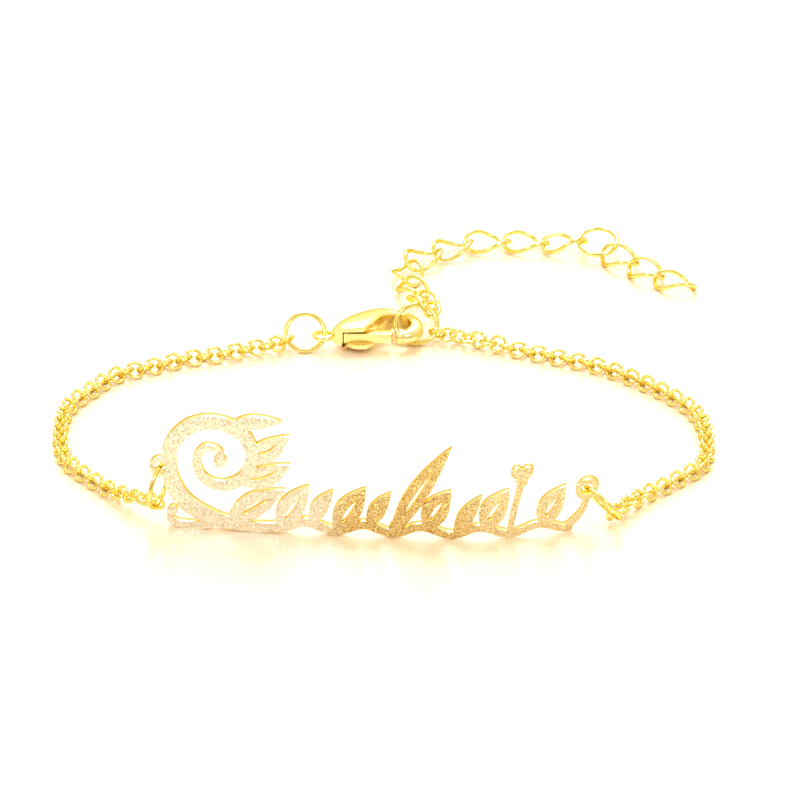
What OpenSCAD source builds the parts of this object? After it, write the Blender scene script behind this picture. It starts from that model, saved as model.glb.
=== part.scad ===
// Nameplate bracelet: a curved, pierced plate between two lengths of rolo chain,
// closed by a lobster clasp, with an extension of twisted oval links.
// X runs along the plate, Y from the plate to the clasp, Z up from the surface that
// the bracelet lies on. The origin is the middle of the wrist opening, on that surface.

/* [Plate] */
// Distance from the middle of one eyelet to the middle of the other
plate_length = 40.7; // [38:0.1:46]
// Height of the scroll at the plate's left end
scroll_height = 12; // [10.5:0.1:13]
// Height of the running vine
vine_height = 5.2; // [4.8:0.1:6.5]
// Height of the tall leaf in the vine
tall_leaf_height = 9.8; // [7:0.1:10.5]
// Thickness of the sheet
plate_thickness = 0.8; // [0.6:0.05:1.1]
// Bend radius of the plate's long left part
left_bend_radius = 260; // [150:5:400]
// Bend radius of the plate's right part
right_bend_radius = 30; // [26:1:60]
// Width of a broad stroke
stroke_width = 1.5; // [1.3:0.05:1.8]
// Hole in each eyelet
eyelet_hole_d = 1.15; // [1.1:0.05:1.3]
// Width of the rim round an eyelet's hole
eyelet_rim = 0.5; // [0.4:0.05:0.7]
// Height of the left eyelet's middle
left_eyelet_height = 6.2; // [5.8:0.1:6.6]
// Height of the right eyelet's middle
right_eyelet_height = 4.4; // [4.2:0.1:4.6]

/* [Main chain] */
// Outer diameter of one round link
chain_link_d = 1.9; // [1.75:0.05:2]
// Wire of the round links
chain_wire_d = 0.35; // [0.28:0.01:0.36]
// Clear gap between the wires of two links that hold each other
link_gap = 0.13; // [0.11:0.01:0.16]

/* [Jump rings] */
// Outer diameter of the two rings in the plate's eyelets
plate_ring_d = 4.8; // [4.5:0.1:5]
// Outer diameter of the ring in the clasp's tail eye
clasp_ring_d = 4.2; // [4:0.1:4.6]
// Outer diameter of the ring that the clasp hooks
end_ring_d = 4.5; // [4.3:0.1:4.7]
// Outer diameter of the ring in the extension chain
ext_ring_d = 4.2; // [3.8:0.1:4.6]
// Wire of every jump ring
ring_wire_d = 0.46; // [0.38:0.02:0.48]
// Angle of the clasp ring above the surface
clasp_ring_lean = 48; // [44:1:56]
// Angle of the end ring above the surface
end_ring_lean = 43; // [40:1:48]
// Angle of the extension's ring above the surface
ext_ring_lean = 18; // [16:1:20]

/* [Lobster clasp] */
// Length of the clasp's body with its tail eye
clasp_length = 10.9; // [10.5:0.1:12]
// Width of the clasp's body at its belly, from the lever's front to its back
belly_width = 4.7; // [4.4:0.1:5]
// Thickness of the clasp's body at its belly
clasp_thickness = 2.8; // [2.6:0.1:3.1]
// Outer diameter of the tail eye
tail_eye_d = 2.2; // [2.1:0.05:2.4]
// Thickness of the tail eye's wall
tail_eye_wall = 0.54; // [0.45:0.02:0.6]
// Width of the lever's bar
lever_width = 0.9; // [0.8:0.05:1]
// Thickness of the lever's bar
lever_thickness = 1; // [0.85:0.05:1.15]
// Reach of the lever's thumb tab beyond the bar
tab_reach = 0.8; // [0.5:0.05:0.9]
// Clear gap round the lever in its slot
slot_gap = 0.12; // [0.08:0.01:0.14]
// Clear gap between the lever's free end and the hook's point
tip_gap = 0.25; // [0.2:0.05:0.4]
// Diameter of the rivet that the lever turns on
rivet_d = 0.44; // [0.36:0.02:0.5]
// Running clearance of the lever on its rivet, on the radius
rivet_clearance = 0.03; // [0.02:0.01:0.05]
// Angle through which the lever opens
lever_opening = 18; // [10:1:20]

/* [Extension chain] */
// Outer length of one twisted oval link
ext_link_length = 4.77; // [4.4:0.05:5.2]
// Outer width of one twisted oval link
ext_link_width = 3.3; // [3:0.05:3.6]
// Wire of the twisted oval links
ext_wire_d = 0.42; // [0.34:0.02:0.46]
// Clear gap between the wires of two links that hold each other
ext_gap = 0.15; // [0.12:0.01:0.2]

/* [Hidden] */

gold = "#f0cc62";
deep_gold = "#d9a93a";

// Vectors and smooth curves
function unit(v) = v / norm(v);
function flat(v) = [v.x, v.y, 0];
function along(angle) = [cos(angle), sin(angle), 0];
function catmull(p, i, t) =
    let (a = p[max(i - 1, 0)], b = p[i], c = p[i + 1], d = p[min(i + 2, len(p) - 1)])
    (2 * b + (c - a) * t + (2 * a - 5 * b + 4 * c - d) * t * t
     + (3 * b - a - 3 * c + d) * t * t * t) / 2;
function smooth(p, steps) = [
    for (i = [0 : len(p) - 2], k = [0 : steps - 1]) catmull(p, i, k / steps),
    p[len(p) - 1]
];

// Strokes and leaves of the plate. A row is x, height and width, all in millimetres.
function stroke_side(s, side) = [
    for (i = [0 : len(s) - 1])
        let (a = s[max(i - 1, 0)], b = s[min(i + 1, len(s) - 1)],
             d = unit([b.x - a.x, b.y - a.y]))
        [s[i].x - side * d.y * s[i].z / 2, s[i].y + side * d.x * s[i].z / 2]
];
function reversed(p) = [for (i = [len(p) - 1 : -1 : 0]) p[i]];

module stroke(rows, steps = 5) {
    s = smooth(rows, steps);
    polygon(concat(stroke_side(s, 1), reversed(stroke_side(s, -1))));
    for (end = [s[0], s[len(s) - 1]])
        translate([end.x, end.y]) circle(d = end.z, $fn = 24);
}

leaf_steps = 12;
function leaf_side(base, tip, width, bow, side) =
    let (run = tip - base, d = unit(run), n = [-d.y, d.x])
    [for (k = [0 : leaf_steps])
        let (t = k / leaf_steps)
        base + run * t
        + n * (bow * 4 * t * (1 - t) + side * width / 2 * pow(abs(sin(180 * pow(t, 0.78))), 0.9))];

module leaf(base, tip, width, bow = 0) {
    polygon(concat(leaf_side(base, tip, width, bow, 1),
                   reversed(leaf_side(base, tip, width, bow, -1))));
}

// A leaf with a round foot, pierced along its rib where it is broad enough
module vine_leaf(base, tip, width, bow, pierced) {
    run = tip - base;
    foot = 0.3 * width;
    difference() {
        union() {
            leaf(base, tip, width, bow);
            translate(base + foot * unit(run)) circle(r = foot, $fn = 24);
        }
        if (pierced)
            leaf(base + run * 0.20, base + run * 0.74, width * 0.17, bow * 0.7);
    }
}

// Where the plate stands: the join of its two bends, and how it is turned there
plate_join = [6, -22.4];
plate_turn = -4;
join_share = 0.666;
join_x = join_share * plate_length;
vine_start = 0.93 * scroll_height;
vine_run = plate_length - vine_start;
vine_slant = 58;
hair_width = 0.42 * stroke_width;
eyelet_r = eyelet_hole_d / 2 + eyelet_rim;
// Gaps narrower than twice this are closed where strokes run together
seam = 0.02;

// Scroll strokes, from the vine inwards. Columns: x and height as shares of the scroll's
// height, and width as a share of the broad stroke.
volute = [
    [1.000, 0.075, 0.60], [0.860, 0.050, 0.65], [0.690, 0.050, 0.75], [0.430, 0.100, 1.00],
    [0.190, 0.240, 1.10], [0.075, 0.470, 1.05], [0.085, 0.700, 1.00], [0.220, 0.880, 1.00],
    [0.430, 0.942, 0.95], [0.640, 0.870, 0.90], [0.735, 0.690, 0.85], [0.680, 0.490, 0.78],
    [0.520, 0.395, 0.70], [0.355, 0.440, 0.62], [0.290, 0.590, 0.55], [0.350, 0.710, 0.48],
    [0.465, 0.700, 0.42], [0.490, 0.610, 0.40]
];
curl = [
    [0.500, 0.090, 0.55], [0.330, 0.036, 0.55], [0.180, 0.030, 0.50], [0.085, 0.065, 0.45],
    [0.075, 0.130, 0.38]
];
// Balls at the ends of those strokes. Columns: x, height, radius, in the same shares.
balls = [[0.480, 0.600, 0.42], [0.102, 0.146, 0.32]];
// Leaves of the scroll. Columns: foot x and height, tip x and height, width, bow.
scroll_leaves = [
    [0.560, 0.925, 0.975, 0.975, 0.95, 0.10],
    [0.690, 0.640, 1.035, 0.860, 1.50, -0.20],
    [0.640, 0.430, 1.045, 0.610, 1.50, -0.20],
    [0.560, 0.090, 1.005, 0.385, 1.65, 0.15]
];
// Leaves of the vine. Columns: place as a share of the vine's run, height as a share of the
// vine's, width as a share of the broad stroke, and 1 where the leaf is pierced.
vine_leaves = [
    [0.010, 1.00, 1.70, 1], [0.112, 0.92, 1.10, 0], [0.195, 1.00, 1.70, 1],
    [0.300, 0.92, 1.10, 0], [0.375, tall_leaf_height / vine_height, 1.35, 1],
    [0.485, 1.00, 1.70, 1], [0.582, 0.90, 1.05, 0], [0.672, 1.00, 1.70, 1],
    [0.855, 0.98, 1.60, 1]
];
// The berries' stalk, which rises from the vine. Columns: place along the run, height as a
// share of the vine's.
berry_stalk = [[0.755, 0.15], [0.772, 0.65], [0.795, 1.16]];
// Berries, measured from the stalk's top in their own radii
berries = [[0, 0], [-0.88, 1.65], [0.88, 1.70]];
berry_r = 0.38 * stroke_width;
stem_waves = 5.3;
stem_middle = 0.19 * vine_height;
stem_swing = 0.075 * vine_height;

function scroll_rows(rows) = [
    for (r = rows) [r[0] * scroll_height, r[1] * scroll_height, r[2] * stroke_width]
];
function vine_x(share) = vine_start + share * vine_run;
function stem_height(share) = stem_middle - stem_swing * cos(360 * stem_waves * share);

module scroll() {
    for (rows = [volute, curl])
        stroke(scroll_rows(rows));
    for (b = scroll_rows(balls))
        translate([b.x, b.y]) circle(r = b.z, $fn = 32);
    for (r = scroll_leaves)
        vine_leaf([r[0], r[1]] * scroll_height, [r[2], r[3]] * scroll_height,
                  r[4] * stroke_width, r[5] * stroke_width, r[4] > 1);
}

module vine() {
    stroke([for (share = [0 : 1 / 36 : 0.97])
        [vine_x(share), stem_height(share), hair_width * (1.5 - 0.5 * share)]], 2);
    for (r = vine_leaves) {
        foot = [vine_x(r[0]), stem_height(r[0])];
        rise = r[1] * vine_height - foot.y;
        vine_leaf(foot, foot + [rise / tan(vine_slant), rise],
                  r[2] * stroke_width, 0.12 * stroke_width, r[3] == 1);
    }
    stalk = [for (p = berry_stalk) [vine_x(p[0]), p[1] * vine_height, hair_width]];
    stroke(stalk);
    top = stalk[len(stalk) - 1];
    for (p = berries)
        translate([top.x, top.y] + berry_r * p) circle(r = berry_r, $fn = 32);
}

module eyelets(r) {
    translate([0, left_eyelet_height]) circle(r = r, $fn = 40);
    translate([plate_length, right_eyelet_height]) circle(r = r, $fn = 40);
}

module plate_outline() {
    offset(delta = -seam) offset(delta = seam)
    difference() {
        union() {
            scroll();
            vine();
            eyelets(eyelet_r);
            // The vine's end rises into the right eyelet
            stroke([[vine_x(0.93), stem_height(0.93), hair_width],
                    [vine_x(0.98), 0.45 * right_eyelet_height, hair_width],
                    [plate_length, right_eyelet_height - 0.75 * eyelet_r, hair_width]]);
        }
        eyelets(eyelet_hole_d / 2);
    }
}

// The sheet seen from above: two tangent bends of the plate's thickness. It starts at the
// surface, so the ornament has small flats where it stands.
module bent_sheet() {
    for (bend = [[left_bend_radius, -1], [right_bend_radius, 1]])
        intersection() {
            translate([join_x, bend[0]])
                difference() {
                    circle(r = bend[0] + plate_thickness / 2, $fn = 360);
                    circle(r = bend[0] - plate_thickness / 2, $fn = 360);
                }
            translate([join_x + (bend[1] - 1) / 2 * plate_length, -plate_length / 2])
                square([plate_length, plate_length]);
        }
}

module nameplate() {
    color(gold)
    translate([plate_join.x, plate_join.y, 0])
    rotate(plate_turn)
    translate([-join_x, 0, 0])
    intersection() {
        rotate([90, 0, 0])
            linear_extrude(height = plate_length, center = true) plate_outline();
        linear_extrude(height = 1.1 * max(scroll_height, tall_leaf_height)) bent_sheet();
    }
}

// A ring of round wire, its middle at c, its axis along n
module ring_at(c, n, r, wire) {
    translate(c)
    rotate([0, acos(n.z / norm(n)), atan2(n.y, n.x)])
    rotate_extrude($fn = 72)
        translate([r, 0]) circle(d = wire, $fn = 36);
}

// Jump rings. Each has its middle, two directions in its own plane, and its wire's radius
// of turn; an angle round it is measured from the first direction to the second.
function ring(c, a, b, d) = [c, unit(a), unit(b - (b * unit(a)) * unit(a)), (d - ring_wire_d) / 2];
function ring_normal(g) = cross(g[1], g[2]);
function ring_point(g, angle) = g[0] + g[3] * (cos(angle) * g[1] + sin(angle) * g[2]);
function ring_tangent(g, angle) = cos(angle) * g[2] - sin(angle) * g[1];
function leaning(x, y, lean, d) =
    ring([x, y, (d - ring_wire_d) / 2 * sin(lean) + ring_wire_d / 2],
         [1, 0, 0], [0, cos(lean), sin(lean)], d);
module jump_ring(g) {
    color(gold) ring_at(g[0], ring_normal(g), g[3], ring_wire_d);
}

function plate_point(x, z) =
    let (r = x < join_x ? left_bend_radius : right_bend_radius,
         u = x - join_x, v = r - sqrt(r * r - u * u))
    [plate_join.x + u * cos(plate_turn) - v * sin(plate_turn),
     plate_join.y + u * sin(plate_turn) + v * cos(plate_turn), z];
left_eyelet = plate_point(0, left_eyelet_height);
right_eyelet = plate_point(plate_length, right_eyelet_height);
plate_ring_r = (plate_ring_d - ring_wire_d) / 2;
// The left ring hangs below its eyelet, the right one reaches out and down from its own.
// The side is the second direction in each ring's plane.
left_hang = unit([0.08, -0.10, 0.99]);
left_side = [-sin(22), -cos(22), 0];
right_reach = unit([0.68, 0, -0.73]);
right_side = [0.295, -0.915, 0.275];
plate_left = ring(left_eyelet - plate_ring_r * left_hang, left_hang, left_side, plate_ring_d);
plate_right = ring(right_eyelet + plate_ring_r * right_reach, right_reach, right_side, plate_ring_d);
clasp_tail = [-6.6, 20.88];
clasp_z = clasp_thickness / 2;
clasp_ring_r = (clasp_ring_d - ring_wire_d) / 2;
// The clasp ring's wire stands a little tailwards of the middle of the tail eye's hole
eye_offset = 0.12;
clasp_loop = leaning(clasp_tail.x + tail_eye_d / 2 + eye_offset - clasp_ring_r,
                     clasp_tail.y + (clasp_ring_r * sin(clasp_ring_lean) + ring_wire_d / 2
                                     - clasp_z) / tan(clasp_ring_lean),
                     clasp_ring_lean, clasp_ring_d);
hook_middle = clasp_tail + clasp_length * [0.927, 0.193];
end_loop = leaning(hook_middle.x, hook_middle.y, end_ring_lean, end_ring_d);

// Angles round the rings at which the chains' end links hold them
left_plate_hold = 192;
left_clasp_hold = 205;
right_plate_hold = -36;
right_end_hold = -26;

// Chain routes, seen from above. The first and last points are on the rings' wires, and a
// route follows its two rings when a size moves them.
left_route = [
    [-21.1, -18.3], [-23.6, -16.2], [-25.4, -13.65], [-27.3, -10.9], [-29.2, -8], [-30.1, -5.9],
    [-30.6, -3.5], [-30.75, -1.15], [-30.7, 1.2], [-30.5, 3.4], [-30, 5.8],
    [-29.2, 7.7], [-27.95, 9.65], [-26.5, 12], [-24.9, 13.7], [-23.1, 14.6],
    [-21, 15.7], [-18.9, 16.9], [-16.8, 17.5], [-14.6, 18.2], [-12.5, 18.9], [-10.4, 19.5],
    [-9, 20.5]
];
right_route = [
    [22.4, -19.3], [23.8, -17.2], [26, -14], [28.8, -10.6], [31, -7.6], [31.6, -3.6], [31.3, 0.8],
    [30.3, 4.8], [28.2, 8.2], [25, 11.8], [21.4, 14.9], [17.2, 17.1], [12.8, 19.1], [8.7, 21],
    [5.2, 22.2]
];

// A length of chain. Its links stand at 45 degrees, leaning left and right in turn, and
// the last few at each end turn to suit the ring that they hold.
link_r = (chain_link_d - chain_wire_d) / 2;
link_pitch = 2 * link_r - chain_wire_d - link_gap;
end_reach = link_r - (chain_wire_d + ring_wire_d) / 2 - link_gap;
lying_height = link_r * sin(45) + chain_wire_d / 2;
blend_length = 9;
end_twist_links = 8;
function lengths(p, i = 1, done = [0]) =
    i == len(p) ? done
    : lengths(p, i + 1, concat(done, [done[i - 1] + norm(p[i] - p[i - 1])]));
function wrapped(a) = a - 180 * round(a / 180);
function blend(s) = pow(cos(90 * min(s, 1)), 2);
function suited_lean(q, t, h) =
    let (w = q - (q * t) * t, up = cross(t, h))
    atan2(-(w * h), w * up);

module chain(route, from, from_angle, to, to_angle) {
    a = ring_point(from, from_angle);
    b = ring_point(to, to_angle);
    last_row = len(route) - 1;
    shift_a = [a.x, a.y] - route[0];
    shift_b = [b.x, b.y] - route[last_row];
    plan = smooth([
        for (i = [0 : last_row])
            route[i] + (1 - i / last_row) * shift_a + i / last_row * shift_b
    ], 6);
    s = lengths(plan);
    total = s[len(s) - 1];
    xs = [for (i = [0 : len(s) - 1]) [s[i], plan[i].x]];
    ys = [for (i = [0 : len(s) - 1]) [s[i], plan[i].y]];
    inner = total - 2 * end_reach;
    count = ceil(inner / link_pitch) + 1;
    step = inner / (count - 1);
    function height(d) = lying_height + (a.z - lying_height) * blend(d / blend_length)
        + (b.z - lying_height) * blend((total - d) / blend_length);
    function place(d) = [lookup(d, xs), lookup(d, ys), height(d)];
    function heading(d) = unit(place(d + step / 2) - place(d - step / 2));
    function side(t) = unit([-t.y, t.x, 0]);
    function base(k) = k % 2 == 0 ? 45 : -45;
    function twist(g, angle, d, k) =
        let (t = heading(d)) wrapped(suited_lean(ring_tangent(g, angle), t, side(t)) - base(k));
    first = twist(from, from_angle, end_reach, 0);
    last = twist(to, to_angle, total - end_reach, count - 1);
    color(gold)
    for (k = [0 : count - 1]) {
        d = end_reach + k * step;
        t = heading(d);
        h = side(t);
        lean = base(k) + first * max(0, 1 - k / end_twist_links)
            + last * max(0, 1 - (count - 1 - k) / end_twist_links);
        p = place(d);
        rest = link_r * abs(sin(lean)) + chain_wire_d / 2;
        ring_at([p.x, p.y, max(p.z, rest)], cos(lean) * cross(t, h) - sin(lean) * h,
                link_r, chain_wire_d);
    }
}

module chain_left() {
    chain(left_route, plate_left, left_plate_hold, clasp_loop, left_clasp_hold);
}

module chain_right() {
    chain(right_route, plate_right, right_plate_hold, end_loop, right_end_hold);
}

// A twisted oval link of six-sided wire, along X. Its tail end (at -X) is turned up on the
// left, its tip end down, so each link stands square to the next.
link_rings = 24;
wire_sides = 6;
ext_half = (ext_link_length - ext_wire_d) / 2;
ext_side = (ext_link_width - ext_wire_d) / 2;
end_twist = 45;
function oval(angle) =
    let (turn = -end_twist * cos(angle), y = ext_side * sin(angle))
    [ext_half * cos(angle), y * cos(turn), y * sin(turn)];
function oval_section(angle) =
    let (t = unit(oval(angle + 1) - oval(angle - 1)), c = oval(angle),
         n = unit(c - (c * t) * t), m = cross(t, n))
    [for (k = [0 : wire_sides - 1])
        c + ext_wire_d / 2 * (cos(360 * (k + 0.5) / wire_sides) * n
                              + sin(360 * (k + 0.5) / wire_sides) * m)];

module oval_link() {
    points = [for (i = [0 : link_rings - 1]) each oval_section(360 * i / link_rings)];
    function index(i, k) = (i % link_rings) * wire_sides + k % wire_sides;
    polyhedron(points, [
        for (i = [0 : link_rings - 1], k = [0 : wire_sides - 1])
            each [[index(i, k), index(i + 1, k), index(i, k + 1)],
                  [index(i, k + 1), index(i + 1, k), index(i + 1, k + 1)]]
    ]);
}

// How high a link's middle lies above the surface when it rests there with this roll
function rest_height(roll) =
    ext_wire_d / 2 - min([for (angle = [0 : 5 : 355])
        let (p = oval(angle)) p.y * sin(roll) + p.z * cos(roll)]);

// The extension's route. Columns: heading of the link and its roll, in degrees, and the
// lift of its tip end above a link that rests.
first_run = [
    [86, 24, 0.6], [100, 14, 0.1], [110, 4, 0], [86, 3, 0.1], [45, 9, 0.1],
    [36, 4, 0.1], [4, 9, 0.05], [-5, 7, 0.05], [-10, 0, 0.75]
];
last_run = [[-46, 15, 0], [-50, 10, 0], [-30, 0, 0]];
ext_pitch = 2 * ext_half - ext_wire_d - ext_gap;
ext_hold = ext_half - (ext_wire_d + ring_wire_d) / 2 - ext_gap - ext_pitch / 2;

// Joints in plan, with the lift in place of the height
function joints(run, start, i = 0) =
    i == len(run) ? [start]
    : let (rise = run[i][2] - start.z, reach = sqrt(ext_pitch * ext_pitch - rise * rise))
      concat([start], joints(run, flat(start + reach * along(run[i][0])) + [0, 0, run[i][2]], i + 1));
// Angles round the rings at which the extension's two lengths hold them
end_ring_hold = 68;
ext_ring_hold = -58;
first_hook = ring_point(end_loop, end_ring_hold);
// Slack of the first link in the end ring, and of the tenth in the extension's ring
first_slack = 0.2;
last_slack = 0.1;
first_joints = joints(first_run, flat(first_hook + (ext_hold - first_slack) * along(first_run[0][0]))
                      + [0, 0, first_hook.z - rest_height(first_run[0][1])]);
ext_ring_r = (ext_ring_d - ring_wire_d) / 2;
// The ring leans on the two links that it joins. Its middle is this far from the ninth
// link's tip, as shares of its radius.
ext_ring_offset = [0.79, -0.15, 0];
ext_ring_height = rest_height(0) + 1.8 * ext_wire_d;
ext_loop = ring(flat(first_joints[len(first_run)])
                + ext_ring_r * ext_ring_offset + [0, 0, ext_ring_height],
                [1, 0, 0], [0, cos(ext_ring_lean), sin(ext_ring_lean)], ext_ring_d);
last_hook = ring_point(ext_loop, ext_ring_hold);
last_joints = joints(last_run, flat(last_hook + (ext_hold - last_slack) * along(last_run[0][0])));

module ext_link(run, ends, i) {
    a = ends[i];
    b = ends[i + 1];
    roll = run[i][1];
    color(gold)
    translate((a + b) / 2 + [0, 0, rest_height(roll)])
    rotate([0, -asin((b.z - a.z) / ext_pitch), run[i][0]])
    rotate([roll, 0, 0])
        oval_link();
}

// Clasp. The body is swept from the tail eye to the hook's point, with a flat inner wall and
// a domed back. Columns: the middle of the inner wall, x and y, from the clasp's tail as
// shares of its length; the direction in which the back faces; and width and thickness as
// shares of the belly's.
clasp_sections = [
    [0.151, -0.026, 90, 0.12, 0.20], [0.193, -0.044, 98, 0.23, 0.40],
    [0.229, -0.067, 97, 0.42, 0.66], [0.294, -0.072, 97, 0.63, 0.84],
    [0.376, -0.072, 96, 0.85, 0.95], [0.468, -0.062, 96, 1.00, 1.00],
    [0.537, 0.020, 95, 0.91, 0.98], [0.583, 0.140, 89, 0.68, 0.93],
    [0.624, 0.236, 84, 0.47, 0.84], [0.693, 0.286, 77, 0.32, 0.72],
    [0.766, 0.295, 64, 0.24, 0.61], [0.835, 0.250, 45, 0.24, 0.62],
    [0.876, 0.172, 18, 0.27, 0.67], [0.881, 0.098, -11, 0.28, 0.62],
    [0.853, 0.035, -36, 0.28, 0.54], [0.807, -0.007, -60, 0.24, 0.48],
    [0.766, -0.021, -77, 0.20, 0.41], [0.739, -0.026, -86, 0.15, 0.33]
];
// Half of the section's outline. Columns: distance from the inner wall as a share of the
// width, and height as a share of half the thickness.
section_half = [
    [0, 0.80], [0.08, 0.93], [0.26, 1], [0.50, 0.95], [0.70, 0.80], [0.86, 0.58], [0.965, 0.30]
];
section_outline = concat(section_half, [[1, 0]], [for (p = reversed(section_half)) [p.x, -p.y]]);
pivot = clasp_tail + clasp_length * [0.303, -0.026];
rivet_length = 0.84 * clasp_thickness;
// The lever's free end lies this much lower than its pivot
lever_droop = 0.05;
hook_point = clasp_sections[len(clasp_sections) - 1].x * clasp_length + clasp_tail.x;
lever_length = hook_point - tip_gap - pivot.x;
// The thumb tab is a thin lip along the bar's lower edge
tab_thickness = 0.4 * lever_thickness;
tab_bottom = clasp_z - 0.8 * lever_thickness;

module clasp_sweep() {
    rows = smooth(clasp_sections, 2);
    last = len(rows) - 1;
    sides = len(section_outline);
    points = [
        for (r = rows, p = section_outline)
            let (c = clasp_tail + clasp_length * [r.x, r.y] + p.x * r[3] * belly_width * along(r[2]))
            [c.x, c.y, clasp_z + p.y * r[4] * clasp_thickness / 2]
    ];
    function index(i, k) = i * sides + k % sides;
    polyhedron(points, concat(
        [for (i = [0 : last - 1], k = [0 : sides - 1])
            each [[index(i, k), index(i, k + 1), index(i + 1, k)],
                  [index(i, k + 1), index(i + 1, k + 1), index(i + 1, k)]]],
        [[for (k = [sides - 1 : -1 : 0]) index(0, k)],
         [for (k = [0 : sides - 1]) index(last, k)]]
    ));
}

module lever_outline(extra = 0) {
    end_r = lever_width / 2 + extra;
    hull() {
        circle(r = end_r, $fn = 32);
        translate([lever_length - lever_width / 2, -lever_droop]) circle(r = end_r, $fn = 32);
    }
}

module thumb_tab(extra = 0) {
    half_run = 1.5 * lever_width;
    tab_r = (half_run * half_run + tab_reach * tab_reach) / (2 * tab_reach);
    intersection() {
        translate([half_run, tab_r - tab_reach - lever_width / 2])
            circle(r = tab_r + extra, $fn = 96);
        translate([-extra, -2 * lever_width])
            square([2 * (half_run + extra), 2 * lever_width + extra]);
    }
}

module clasp_body() {
    color(gold)
    difference() {
        union() {
            clasp_sweep();
            ring_at([clasp_tail.x + tail_eye_d / 2, clasp_tail.y, clasp_z], [0, 0, 1],
                    (tail_eye_d - tail_eye_wall) / 2, tail_eye_wall);
        }
        // The slot leaves the lever and its tab room to open
        for (share = [0, 0.5, 1])
            translate([pivot.x, pivot.y, 0])
            rotate(share * lever_opening) {
                translate([0, 0, clasp_z - lever_thickness / 2 - slot_gap])
                    linear_extrude(height = lever_thickness + 2 * slot_gap)
                    lever_outline(slot_gap);
                translate([0, 0, tab_bottom - slot_gap])
                    linear_extrude(height = tab_thickness + 2 * slot_gap) thumb_tab(slot_gap);
            }
        translate([pivot.x, pivot.y, 0])
            cylinder(d = rivet_d + rivet_clearance, h = clasp_thickness, $fn = 48);
    }
}

module clasp_lever() {
    color(gold)
    translate([pivot.x, pivot.y, 0])
    difference() {
        union() {
            translate([0, 0, clasp_z - lever_thickness / 2])
                linear_extrude(height = lever_thickness) lever_outline();
            translate([0, 0, tab_bottom])
                linear_extrude(height = tab_thickness) thumb_tab();
        }
        cylinder(d = rivet_d + 2 * rivet_clearance, h = clasp_thickness, $fn = 48);
    }
}

module clasp_rivet() {
    color(deep_gold)
    translate([pivot.x, pivot.y, clasp_z])
        cylinder(d = rivet_d, h = rivet_length, center = true, $fn = 48);
}

nameplate();
jump_ring(plate_left);  // plate_ring_left
jump_ring(plate_right);  // plate_ring_right
chain_left();
chain_right();
jump_ring(clasp_loop);  // clasp_ring
clasp_body();
clasp_lever();
clasp_rivet();
jump_ring(end_loop);  // end_ring
ext_link(first_run, first_joints, 0);  // ext_link_01
ext_link(first_run, first_joints, 1);  // ext_link_02
ext_link(first_run, first_joints, 2);  // ext_link_03
ext_link(first_run, first_joints, 3);  // ext_link_04
ext_link(first_run, first_joints, 4);  // ext_link_05
ext_link(first_run, first_joints, 5);  // ext_link_06
ext_link(first_run, first_joints, 6);  // ext_link_07
ext_link(first_run, first_joints, 7);  // ext_link_08
ext_link(first_run, first_joints, 8);  // ext_link_09
jump_ring(ext_loop);  // ext_ring
ext_link(last_run, last_joints, 0);  // ext_link_10
ext_link(last_run, last_joints, 1);  // ext_link_11
ext_link(last_run, last_joints, 2);  // ext_link_12
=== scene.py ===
# The looks of a gold-plated bracelet: a pierced, frosted plate between two lengths of rolo
# chain, closed by a lobster clasp, with an extension of twisted links. Lengths are in metres.
import math

import bpy
import numpy as np
from mathutils import Matrix, Vector


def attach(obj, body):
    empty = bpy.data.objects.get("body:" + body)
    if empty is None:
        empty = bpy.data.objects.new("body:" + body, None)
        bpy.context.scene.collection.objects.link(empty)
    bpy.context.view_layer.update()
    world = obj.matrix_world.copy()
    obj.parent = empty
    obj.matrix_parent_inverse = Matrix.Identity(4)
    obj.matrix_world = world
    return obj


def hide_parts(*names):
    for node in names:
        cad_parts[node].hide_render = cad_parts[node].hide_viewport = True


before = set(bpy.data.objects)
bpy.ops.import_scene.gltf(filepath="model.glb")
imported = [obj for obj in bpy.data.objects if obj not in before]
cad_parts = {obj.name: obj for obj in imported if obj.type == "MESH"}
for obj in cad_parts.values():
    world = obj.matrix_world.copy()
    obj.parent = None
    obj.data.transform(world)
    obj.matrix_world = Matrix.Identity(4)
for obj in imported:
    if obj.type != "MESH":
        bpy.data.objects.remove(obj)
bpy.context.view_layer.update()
MM = 0.001


# Camera: the photograph looks at the bracelet's front, down at 25 degrees, from so far off
# that the loop's near and far sides have the same scale.
view_elevation = math.radians(25)
view_distance = 3000 * MM
view_aim = Vector((1.92, 9.09, 0)) * MM
# In millimetres on the default sensor, this frames 77 mm at the view's distance
view_focal_length = 1401
bpy.ops.object.camera_add(
    location=view_aim
    + view_distance * Vector((0, -math.cos(view_elevation), math.sin(view_elevation))),
    rotation=(math.pi / 2 - view_elevation, 0, 0),
)
camera = bpy.context.object
camera.data.lens = view_focal_length
camera.data.clip_start = 500 * MM
bpy.context.scene.camera = camera
bpy.context.scene.view_settings.view_transform = "Standard"


# Studio: a white tent, brightest at the back and dim only near the horizon, with one large
# softbox behind the bracelet and two in front. The back one throws short shadows towards the
# camera; the front ones make the white lights along the wires.
def linear(code):
    """A colour for the shaders, from its sRGB hex value."""
    parts = [int(code[i : i + 2], 16) / 255 for i in (1, 3, 5)]
    return [p / 12.92 if p <= 0.04045 else ((p + 0.055) / 1.055) ** 2.4 for p in parts] + [1]


def add_node(tree, kind, inputs=None, **settings):
    """Adds a node with its settings. Each input is a value, or a socket to link it to."""
    made = tree.nodes.new(kind)
    for name, value in settings.items():
        setattr(made, name, value)
    for name, value in (inputs or {}).items():
        if isinstance(value, bpy.types.NodeSocket):
            tree.links.new(value, made.inputs[name])
        else:
            made.inputs[name].default_value = value
    return made


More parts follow.
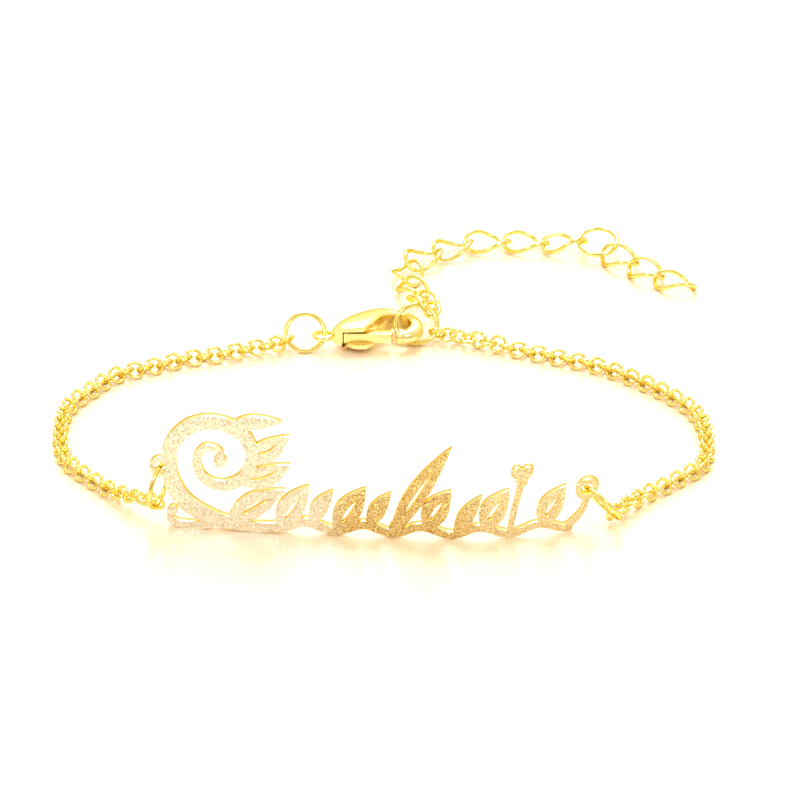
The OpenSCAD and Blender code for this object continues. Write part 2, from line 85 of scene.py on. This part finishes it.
tent_front_strength = 0.75
tent_back_strength = 1.35
tent = bpy.data.worlds.new("white_tent")
tent.use_nodes = True
tent.node_tree.nodes.clear()
direction = add_node(tent.node_tree, "ShaderNodeTexCoord")
direction_parts = add_node(
    tent.node_tree, "ShaderNodeSeparateXYZ", {"Vector": direction.outputs["Generated"]}
)
tent_ramp = add_node(
    tent.node_tree, "ShaderNodeValToRGB", {"Fac": direction_parts.outputs["Z"]}
)
tent_ramp.color_ramp.elements[0].position = 0.0
tent_ramp.color_ramp.elements[0].color = linear("#bfa77e")
tent_ramp.color_ramp.elements[1].position = 0.2
tent_ramp.color_ramp.elements[1].color = linear("#fff0da")
tent_side = add_node(
    tent.node_tree,
    "ShaderNodeMapRange",
    {
        "Value": direction_parts.outputs["Y"],
        "From Min": -0.8,
        "From Max": 0.8,
        "To Min": tent_front_strength,
        "To Max": tent_back_strength,
    },
)
tent_light = add_node(
    tent.node_tree,
    "ShaderNodeBackground",
    {"Color": tent_ramp.outputs["Color"], "Strength": tent_side.outputs["Result"]},
)
add_node(
    tent.node_tree, "ShaderNodeOutputWorld", {"Surface": tent_light.outputs["Background"]}
)
bpy.context.scene.world = tent

# Name, place in millimetres, side in millimetres and power in watts
softboxes = [
    ("back_softbox", (0, 700, 930), 600, 13),
    ("left_softbox", (-380, -400, 620), 240, 1.7),
    ("right_softbox", (360, -420, 460), 200, 1.1),
]
for name, place, side, watts in softboxes:
    place = Vector(place) * MM
    bpy.ops.object.light_add(
        type="AREA", location=place, rotation=place.to_track_quat("Z", "Y").to_euler()
    )
    box = bpy.context.object
    box.name = name
    box.data.size = side * MM
    box.data.energy = watts
    # A little cooler than the tent, so that the shadows are warm
    box.data.color = linear("#eef4ff")[:3]


# Table: a sheet of warm white acrylic under a clear glossy face, smooth enough to return a
# soft image of what lies on it. The light burns it out, so its colour shows in shadows only.
bpy.ops.mesh.primitive_plane_add(size=3000 * MM, location=(0, 0, 0))
table = bpy.context.object
table.name = "white_table"
acrylic = bpy.data.materials.new("white_acrylic")
acrylic.use_nodes = True
acrylic_face = acrylic.node_tree.nodes["Principled BSDF"]
acrylic_face.inputs["Base Color"].default_value = linear("#ffead0")
acrylic_face.inputs["Roughness"].default_value = 0.2
acrylic_face.inputs["IOR"].default_value = 1.49
acrylic_face.inputs["Coat Weight"].default_value = 1
acrylic_face.inputs["Coat Roughness"].default_value = 0.2
acrylic_face.inputs["Coat IOR"].default_value = 1.8
table.data.materials.append(acrylic)


# Nameplate: one piece sawn out of a sheet 0.8 mm thick, bent gently outwards and standing on
# its lower edge. Its front is dusted with a diamond point, its cut edges are polished.
def welded_copy(node, name):
    """A new object with the CAD node's mesh, its loose triangles joined."""
    bpy.ops.object.select_all(action="DESELECT")
    made = bpy.data.objects.new(name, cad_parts[node].data.copy())
    made.data.name = name
    made.data.materials.clear()
    bpy.context.scene.collection.objects.link(made)
    bpy.context.view_layer.objects.active = made
    made.select_set(True)
    bpy.ops.object.mode_set(mode="EDIT")
    bpy.ops.mesh.select_all(action="SELECT")
    bpy.ops.mesh.remove_doubles(threshold=0.0005 * MM)
    bpy.ops.object.mode_set(mode="OBJECT")
    return made


def finish_modifier(piece, kind, **settings):
    """Gives the piece one modifier and applies it."""
    bpy.context.view_layer.objects.active = piece
    modifier = piece.modifiers.new(kind.lower(), kind)
    for name, value in settings.items():
        setattr(modifier, name, value)
    bpy.ops.object.modifier_apply(modifier=modifier.name)


plate = welded_copy("nameplate", "pierced_plate")
finish_modifier(
    plate, "BEVEL", width=0.05 * MM, segments=2, limit_method="ANGLE", angle_limit=math.radians(50)
)
bpy.ops.object.shade_smooth_by_angle(angle=math.radians(35))

# The diamond point leaves grains about 0.1 mm across; each turns its own way, so that the
# front glints all over instead of mirroring the room
grain_size = 0.11 * MM
grain_tilt = 0.75
# The front's colour carries painted reflection and sparkle: paler at the ends, deeper gold in the
# middle
frosted_painted_reflection = bpy.data.materials.new("dusted_gold_plate_painted_reflection")
frosted_painted_reflection.use_nodes = True
tree = frosted_painted_reflection.node_tree
gold = tree.nodes["Principled BSDF"]
place = add_node(tree, "ShaderNodeTexCoord")
grains = add_node(
    tree,
    "ShaderNodeTexVoronoi",
    {"Vector": place.outputs["Object"], "Scale": 1 / grain_size},
)
tilt = add_node(
    tree,
    "ShaderNodeVectorMath",
    {0: grains.outputs["Color"], 1: (0.5, 0.5, 0.5)},
    operation="SUBTRACT",
)
tilt_size = add_node(
    tree,
    "ShaderNodeVectorMath",
    {0: tilt.outputs["Vector"], "Scale": grain_tilt},
    operation="SCALE",
)
surface = add_node(tree, "ShaderNodeNewGeometry")
turned = add_node(
    tree,
    "ShaderNodeVectorMath",
    {0: surface.outputs["Normal"], 1: tilt_size.outputs["Vector"]},
    operation="ADD",
)
grain_normal = add_node(
    tree, "ShaderNodeVectorMath", {0: turned.outputs["Vector"]}, operation="NORMALIZE"
)
tree.links.new(grain_normal.outputs["Vector"], gold.inputs["Normal"])
shade = add_node(
    tree,
    "ShaderNodeTexNoise",
    {"Vector": place.outputs["Object"], "Scale": 1 / grain_size, "Detail": 1},
)
across = add_node(tree, "ShaderNodeSeparateXYZ", {"Vector": place.outputs["Object"]})
plate_half_length = 20 * MM
along = add_node(
    tree,
    "ShaderNodeMapRange",
    {
        "Value": across.outputs["X"],
        "From Min": -plate_half_length,
        "From Max": plate_half_length,
    },
)
# Painted reflection and sparkle: the colour is painted paler towards the plate's ends than in its
# middle; the painted shade and painted sparkle colours of the grains, at these shares of the
# length
painted_reflection_places = (0.34, 0.42, 0.68, 0.76)
painted_shade_grain_colours = ("#f4ecce", "#b88a2c", "#b88a2c", "#dec074")
painted_sparkle_grain_colours = ("#fcf8ec", "#fff2b4", "#fff2b4", "#fdf4d2")
tones = []
for colours in (painted_shade_grain_colours, painted_sparkle_grain_colours):
    tone = add_node(tree, "ShaderNodeValToRGB", {"Fac": along.outputs["Result"]})
    tone.color_ramp.elements.new(painted_reflection_places[2])
    tone.color_ramp.elements.new(painted_reflection_places[1])
    for stop, share, colour in zip(tone.color_ramp.elements, painted_reflection_places, colours):
        stop.position = share
        stop.color = linear(colour)
    tones.append(tone.outputs["Color"])
contrast = add_node(
    tree,
    "ShaderNodeMapRange",
    {"Value": shade.outputs["Fac"], "From Min": 0.35, "From Max": 0.65},
)
# A noise mixes the painted shade and painted sparkle colours into a speckle over the front
# The mix's colours are its inputs 6 and 7 and its output 2, since its sockets share names
tone = add_node(
    tree,
    "ShaderNodeMix",
    {0: contrast.outputs["Result"], 6: tones[0], 7: tones[1]},
    data_type="RGBA",
)
tree.links.new(tone.outputs[2], gold.inputs["Base Color"])
gold.inputs["Metallic"].default_value = 1
gold.inputs["Roughness"].default_value = 0.32


def polished_gold(name, colour, rim_colour, roughness, haze_size):
    """Gold plate over polished brass, with the faint uneven gloss that tumbling leaves.

    The real haze is finer than haze_size, and is drawn as coarse as it needs to show.
    """
    material = bpy.data.materials.new(name)
    material.use_nodes = True
    tree = material.node_tree
    gold = tree.nodes["Principled BSDF"]
    place = add_node(tree, "ShaderNodeTexCoord")
    haze = add_node(
        tree, "ShaderNodeTexNoise", {"Vector": place.outputs["Object"], "Scale": 1 / haze_size}
    )
    gloss = add_node(
        tree,
        "ShaderNodeMapRange",
        {"Value": haze.outputs["Fac"], "To Min": 0.7 * roughness, "To Max": 1.4 * roughness},
    )
    tree.links.new(gloss.outputs["Result"], gold.inputs["Roughness"])
    gold.inputs["Base Color"].default_value = linear(colour)
    gold.inputs["Metallic"].default_value = 1
    # Gold deepens where it is seen at a grazing angle, which draws the rims of the wire
    gold.inputs["Specular Tint"].default_value = linear(rim_colour)
    return material


# The saw cuts are filed and polished, and mirror the room a little more softly than wire
cut_edge = polished_gold("polished_gold_cut_edge", "#fdecb0", "#e4c878", 0.16, 0.4 * MM)
plate.data.materials.append(cut_edge)
plate.data.materials.append(frosted_painted_reflection)
# Only the front is dusted
for face in plate.data.polygons:
    face.material_index = 1 if face.normal.y < -0.8 else 0
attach(plate, "bracelet")
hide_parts("nameplate")


# Jump rings: round wire bent once round, with its two sawn ends pushed together. They hold
# the plate's eyelets, the clasp's tail, the clasp's hook and the extension's lower length.
def ring_place(points):
    """The middle and the axis of a round ring, from points all over its surface."""
    middle = points.mean(axis=0)
    directions = np.linalg.svd(points - middle, full_matrices=False)[2]
    middle = middle + directions.T @ (
        ((points - middle) @ directions.T).max(axis=0)
        + ((points - middle) @ directions.T).min(axis=0)
    ) / 2
    return Vector(middle), Vector(directions[2])


def points_of(piece):
    """The places of the piece's vertices, a row for each."""
    points = np.empty(3 * len(piece.data.vertices))
    piece.data.vertices.foreach_get("co", points)
    return points.reshape(-1, 3)


def spun_wire(name, radius, wire, sides, steps, sweep):
    """Wire of a round section, spun round Z with its sides at this radius."""
    bpy.ops.object.select_all(action="DESELECT")
    bpy.ops.mesh.primitive_circle_add(
        vertices=sides,
        radius=wire / 2,
        fill_type="NGON" if sweep < 2 * math.pi else "NOTHING",
        location=(radius, 0, 0),
        rotation=(math.pi / 2, 0, 0),
    )
    made = bpy.context.object
    made.name = name
    made.data.name = name
    bpy.ops.object.transform_apply(location=True, rotation=True, scale=True)
    bpy.ops.object.mode_set(mode="EDIT")
    bpy.ops.mesh.select_all(action="SELECT")
    bpy.ops.mesh.spin(steps=steps, angle=sweep, center=(0, 0, 0), axis=(0, 0, 1))
    bpy.ops.mesh.select_all(action="SELECT")
    bpy.ops.mesh.remove_doubles(threshold=0.001 * MM)
    bpy.ops.mesh.normals_make_consistent(inside=False)
    bpy.ops.object.mode_set(mode="OBJECT")
    return made


ring_wire = 0.46 * MM
seam_width = 0.05 * MM
# The plating has one colour on all the wire, and a deeper one at its rims
wire_colour = "#f8e890"
wire_rim_colour = "#d2b450"
ring_gold = polished_gold("polished_gold_ring", wire_colour, wire_rim_colour, 0.13, 0.5 * MM)
# Name, CAD node, and where the seam is round the ring in degrees
rings = [
    ("left_plate_ring", "plate_ring_left", 200),
    ("right_plate_ring", "plate_ring_right", 120),
    ("clasp_tail_ring", "clasp_ring", 250),
    ("hooked_end_ring", "end_ring", 190),
    ("extension_round_ring", "ext_ring", 300),
]
for name, node, seam_angle in rings:
    points = points_of(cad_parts[node])
    middle, axis = ring_place(points)
    radius = max((Vector(p) - middle).length for p in points) - ring_wire / 2
    ring = spun_wire(name, radius, ring_wire, 16, 64, 2 * math.pi - seam_width / radius)
    turn = Matrix.Rotation(math.radians(seam_angle), 4, "Z")
    ring.data.transform(
        Matrix.Translation(middle) @ axis.to_track_quat("Z", "Y").to_matrix().to_4x4() @ turn
    )
    bpy.ops.object.shade_smooth_by_angle(angle=math.radians(40))
    ring.data.materials.append(ring_gold)
    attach(ring, "bracelet")
    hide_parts(node)


# Main chain: rolo chain of round wire links, each soldered shut through the next. The links
# lean left and right in turn.
chain_link_d = 1.9 * MM
chain_wire = 0.35 * MM
chain_gold = polished_gold("polished_gold_chain", wire_colour, wire_rim_colour, 0.14, 0.4 * MM)
link = spun_wire(
    "round_link", (chain_link_d - chain_wire) / 2, chain_wire, 8, 30, 2 * math.pi
)
bpy.ops.object.shade_smooth()
for name, node in [("left_rolo_chain", "chain_left"), ("right_rolo_chain", "chain_right")]:
    welded_copy(node, node + "_solids")
    bpy.ops.object.mode_set(mode="EDIT")
    bpy.ops.mesh.select_all(action="SELECT")
    bpy.ops.mesh.separate(type="LOOSE")
    bpy.ops.object.mode_set(mode="OBJECT")
    solids = list(bpy.context.selected_objects)
    places = [ring_place(points_of(solid)) for solid in solids]
    bpy.ops.object.delete()
    for middle, axis in places:
        made = bpy.data.objects.new("chain_link", link.data.copy())
        made.data.transform(
            Matrix.Translation(middle) @ axis.to_track_quat("Z", "Y").to_matrix().to_4x4()
        )
        bpy.context.scene.collection.objects.link(made)
        made.select_set(True)
        bpy.context.view_layer.objects.active = made
    bpy.ops.object.join()
    chain = bpy.context.object
    chain.name = name
    chain.data.name = name
    chain.data.materials.append(chain_gold)
    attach(chain, "bracelet")
    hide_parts(node)
bpy.data.objects.remove(link)


# Extension: oval links of the same wire as the rings, twisted a quarter turn so that they lie
# close to flat, and polished in the drum.
extension_gold = polished_gold(
    "polished_gold_extension", wire_colour, wire_rim_colour, 0.13, 0.5 * MM
)
# Rounding the solids' six-sided wire thins it by this much on each side
rounding_loss = 0.036 * MM
for number in range(1, 13):
    oval = welded_copy(f"ext_link_{number:02}", f"oval_link_{number:02}")
    bpy.ops.object.mode_set(mode="EDIT")
    bpy.ops.mesh.select_all(action="SELECT")
    bpy.ops.mesh.tris_convert_to_quads()
    bpy.ops.transform.shrink_fatten(value=rounding_loss)
    bpy.ops.object.mode_set(mode="OBJECT")
    finish_modifier(oval, "SUBSURF", levels=2, render_levels=2)
    bpy.ops.object.shade_smooth()
    oval.data.materials.append(extension_gold)
    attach(oval, "bracelet")
    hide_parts(f"ext_link_{number:02}")


# Clasp: a cast lobster clasp lying on its side. Its body has a flat inner wall and a domed
# back; a pocket in its mouth holds the lever, which turns on a rivet and shuts on the hook.
def pick(piece, test):
    """Selects the vertices that pass the test, in edit mode."""
    bpy.ops.object.select_all(action="DESELECT")
    bpy.context.view_layer.objects.active = piece
    piece.select_set(True)
    bpy.ops.object.mode_set(mode="EDIT")
    bpy.ops.mesh.select_mode(type="VERT")
    bpy.ops.mesh.select_all(action="DESELECT")
    bpy.ops.object.mode_set(mode="OBJECT")
    for vertex in piece.data.vertices:
        vertex.select = test(vertex.co)
    bpy.ops.object.mode_set(mode="EDIT")


def cut_out(piece, cutter):
    """Cuts the cutter's shape out of the piece and removes the cutter."""
    finish_modifier(piece, "BOOLEAN", object=cutter, operation="DIFFERENCE", solver="EXACT")
    bpy.data.objects.remove(cutter)


clasp_tail = Vector((-6.6, 20.88, 1.4)) * MM
lever_pivot = Vector((-3.3, 20.6, 1.4)) * MM
# Sections of the body, from the tail to the hook's point, in millimetres: x and y of the
# inner wall's middle, the way the back faces in degrees, width and thickness
body_sections = [
    (-4.95, 20.60, 90, 0.56, 0.56),
    (-4.50, 20.40, 98, 1.08, 1.10),
    (-4.10, 20.15, 97, 1.97, 1.85),
    (-3.40, 20.10, 97, 2.96, 2.35),
    (-2.50, 20.10, 96, 4.00, 2.66),
    (-1.50, 20.20, 96, 4.70, 2.80),
    (-0.75, 21.10, 95, 4.28, 2.74),
    (-0.25, 22.41, 89, 3.20, 2.60),
    (0.20, 23.45, 84, 2.21, 2.36),
    (0.95, 24.00, 77, 1.50, 2.02),
    (1.75, 24.10, 64, 1.13, 1.72),
    (2.50, 23.60, 45, 1.13, 1.74),
    (2.95, 22.75, 18, 1.27, 1.88),
    (3.00, 21.95, -11, 1.32, 1.74),
    (2.70, 21.26, -36, 1.32, 1.52),
    (2.20, 20.80, -60, 1.13, 1.34),
    (1.75, 20.65, -77, 0.94, 1.15),
    (1.45, 20.60, -86, 0.70, 0.92),
]
bpy.ops.object.select_all(action="DESELECT")
bpy.ops.mesh.primitive_circle_add(
    vertices=16, radius=0.5, location=(0.5, 0, 0), rotation=(math.pi / 2, 0, 0)
)
profile = bpy.context.object
bpy.ops.object.transform_apply(location=True, rotation=True, scale=True)
# The circle's inner side is pressed flat, so that x is a share of the width and z of the
# thickness: from x, to x, and what x and z are multiplied by between them
profile_presses = [(-1, 0.2, 0, 1.12), (0.2, 0.4, 0.33, 1), (0.4, 0.6, 0.66, 1)]
for low, high, press, lift in profile_presses:
    pick(profile, lambda at: low < at.x < high)
    bpy.ops.transform.resize(value=(press, 1, lift), center_override=(0, 0, 0))
    bpy.ops.object.mode_set(mode="OBJECT")
# The inner wall's two edges stay crisp
rim_crease = 0.85
rim = profile.data.attributes.new("rim", "BOOLEAN", "POINT")
for vertex in profile.data.vertices:
    rim.data[vertex.index].value = vertex.co.x < 0.01 and abs(vertex.co.z) > 0.3
bpy.ops.object.select_all(action="DESELECT")
for x, y, facing, width, thickness in body_sections:
    section = bpy.data.objects.new("clasp_section", profile.data.copy())
    section.data.transform(
        Matrix.Translation(Vector((x * MM, y * MM, lever_pivot.z)))
        @ Matrix.Rotation(math.radians(facing), 4, "Z")
        @ Matrix.Diagonal((width * MM, 1, thickness * MM, 1))
    )
    bpy.context.scene.collection.objects.link(section)
    section.select_set(True)
    bpy.context.view_layer.objects.active = section
bpy.data.objects.remove(profile)
bpy.ops.object.join()
body = bpy.context.object
body.name = "lobster_clasp_body"
body.data.name = "lobster_clasp_body"
bpy.ops.object.mode_set(mode="EDIT")
bpy.ops.mesh.select_all(action="SELECT")
bpy.ops.mesh.bridge_edge_loops()
bpy.ops.mesh.select_all(action="DESELECT")
bpy.ops.mesh.select_non_manifold()
bpy.ops.mesh.fill_holes(sides=0)
bpy.ops.mesh.select_all(action="SELECT")
bpy.ops.mesh.normals_make_consistent(inside=False)
bpy.ops.object.mode_set(mode="OBJECT")
rim = body.data.attributes["rim"]
crease = body.data.attributes.new("crease_edge", "FLOAT", "EDGE")
for edge in body.data.edges:
    if all(rim.data[vertex].value for vertex in edge.vertices):
        crease.data[edge.index].value = rim_crease
finish_modifier(body, "SUBSURF", levels=2, render_levels=2)

# The tail eye, a ring cast with the body
eye_radius = 0.83 * MM
eye_wire_radius = 0.27 * MM
bpy.ops.mesh.primitive_torus_add(
    location=clasp_tail + Vector((eye_radius + eye_wire_radius, 0, 0)),
    major_radius=eye_radius,
    minor_radius=eye_wire_radius,
    major_segments=40,
    minor_segments=16,
)
eye = bpy.context.object
finish_modifier(body, "BOOLEAN", object=eye, operation="UNION", solver="EXACT")
bpy.data.objects.remove(eye)
# The pocket: a round end about the rivet and the lever's way as it opens. A wider part below
# it takes the thumb lip. Half width, bottom and top from the lever's middle, in millimetres.
pockets = [(0.58, -0.66, 0.68), (0.62, -0.95, -0.5)]
pocket_overcut = 0.6 * MM
lever_reach = 4.72 * MM
lever_opening = math.radians(18)
for half_width, low, high in pockets:
    middle = lever_pivot + Vector((0, 0, (low + high) / 2)) * MM
    bpy.ops.mesh.primitive_cylinder_add(
        vertices=48, radius=half_width * MM, depth=(high - low) * MM, location=middle
    )
    cut_out(body, bpy.context.object)
    for angle in (0, lever_opening / 2, lever_opening):
        bpy.ops.mesh.primitive_cube_add(size=1, location=(0, 0, 0))
        box = bpy.context.object
        box.data.transform(
            Matrix.Translation(middle)
            @ Matrix.Rotation(angle, 4, "Z")
            @ Matrix.Translation(Vector((lever_reach / 2, -pocket_overcut / 2, 0)))
            @ Matrix.Diagonal(
                (lever_reach, 2 * half_width * MM + pocket_overcut, (high - low) * MM, 1)
            )
        )
        cut_out(body, box)
rivet_radius = 0.22 * MM
rivet_gap = 0.015 * MM
bpy.ops.mesh.primitive_cylinder_add(
    vertices=48, radius=rivet_radius + rivet_gap, depth=4 * MM, location=lever_pivot
)
cut_out(body, bpy.context.object)
finish_modifier(
    body, "BEVEL", width=0.04 * MM, segments=2, limit_method="ANGLE", angle_limit=math.radians(40)
)
bpy.ops.object.select_all(action="DESELECT")
body.select_set(True)
bpy.ops.object.shade_smooth_by_angle(angle=math.radians(35))

# The lever: a bar with rounded ends, and a thin lip along its lower edge for the thumb
lever_radius = 0.45 * MM
lever_height = 1.0 * MM
lever_stretch = Vector((4.28, -0.05, 0)) * MM
lever_tip_share = 0.5
bpy.ops.mesh.primitive_cylinder_add(
    vertices=32, radius=lever_radius, depth=lever_height, location=lever_pivot
)
lever = bpy.context.object
lever.name = "lobster_clasp_lever"
lever.data.name = "lobster_clasp_lever"
bpy.ops.object.transform_apply(location=True, rotation=True, scale=True)
pick(lever, lambda at: at.x > lever_pivot.x + 0.01 * MM)
bpy.ops.transform.resize(value=(lever_tip_share, 1, 1), center_override=lever_pivot)
bpy.ops.transform.translate(value=lever_stretch)
bpy.ops.object.mode_set(mode="OBJECT")
lip_radius = 1.54 * MM
lip_reach = 1.25 * MM
lip_thickness = 0.4 * MM
lip_from_pivot = 1.35 * MM
lip_drop = 0.6 * MM
bpy.ops.object.select_all(action="DESELECT")
bpy.ops.mesh.primitive_cylinder_add(
    vertices=96,
    radius=lip_radius,
    depth=lip_thickness,
    location=lever_pivot + Vector((lip_from_pivot, lip_radius - lip_reach, -lip_drop)),
)
lip = bpy.context.object
bpy.ops.object.transform_apply(location=True, rotation=True, scale=True)
bpy.ops.object.mode_set(mode="EDIT")
bpy.ops.mesh.select_all(action="SELECT")
bpy.ops.mesh.bisect(
    plane_co=lever_pivot,
    plane_no=(0, 1, 0),
    use_fill=True,
    clear_outer=True,
    threshold=0.001 * MM,
)
bpy.ops.object.mode_set(mode="OBJECT")
finish_modifier(lever, "BOOLEAN", object=lip, operation="UNION", solver="EXACT")
bpy.data.objects.remove(lip)
finish_modifier(
    lever, "BEVEL", width=0.07 * MM, segments=3, limit_method="ANGLE", angle_limit=math.radians(40)
)
bpy.ops.object.select_all(action="DESELECT")
lever.select_set(True)
bpy.ops.object.shade_smooth_by_angle(angle=math.radians(35))

# The rivet, filed flush with the body's two sides
rivet_length = 2.3 * MM
bpy.ops.object.select_all(action="DESELECT")
bpy.ops.mesh.primitive_cylinder_add(
    vertices=48, radius=rivet_radius, depth=rivet_length, location=lever_pivot
)
rivet = bpy.context.object
rivet.name = "lever_rivet"
rivet.data.name = "lever_rivet"
bpy.ops.object.transform_apply(location=True, rotation=True, scale=True)
finish_modifier(
    rivet, "BEVEL", width=0.03 * MM, segments=2, limit_method="ANGLE", angle_limit=math.radians(60)
)
bpy.ops.object.shade_smooth_by_angle(angle=math.radians(35))

# A casting takes less polish than drawn wire, so the clasp's mirror is the softest
clasp_gold = polished_gold("polished_gold_clasp", "#fff0a8", "#fbdc98", 0.19, 0.8 * MM)
# The cast mouth keeps lines along it, about a third of a millimetre apart, that the polished
# dome has lost; they streak what the mouth mirrors
line_gap = 0.35 * MM
line_depth = 0.035 * MM
mouth_start = -1.4 * MM
mouth_full = 0.2 * MM
tree = clasp_gold.node_tree
place = add_node(tree, "ShaderNodeTexCoord")
drawn = add_node(
    tree, "ShaderNodeMapping", {"Vector": place.outputs["Object"], "Scale": (0.1, 1, 1)}
)
lines = add_node(
    tree,
    "ShaderNodeTexNoise",
    {"Vector": drawn.outputs["Vector"], "Scale": 1 / line_gap, "Detail": 0},
)
across = add_node(tree, "ShaderNodeSeparateXYZ", {"Vector": place.outputs["Object"]})
mouth = add_node(
    tree,
    "ShaderNodeMapRange",
    {"Value": across.outputs["X"], "From Min": mouth_start, "From Max": mouth_full},
)
relief = add_node(
    tree,
    "ShaderNodeBump",
    {
        "Height": lines.outputs["Fac"],
        "Strength": mouth.outputs["Result"],
        "Distance": line_depth,
    },
)
tree.links.new(relief.outputs["Normal"], tree.nodes["Principled BSDF"].inputs["Normal"])
for piece, node, carrier in [
    (body, "clasp_body", "bracelet"),
    (lever, "clasp_lever", "lever"),
    (rivet, "clasp_rivet", "bracelet"),
]:
    piece.data.materials.append(clasp_gold)
    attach(piece, carrier)
    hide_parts(node)
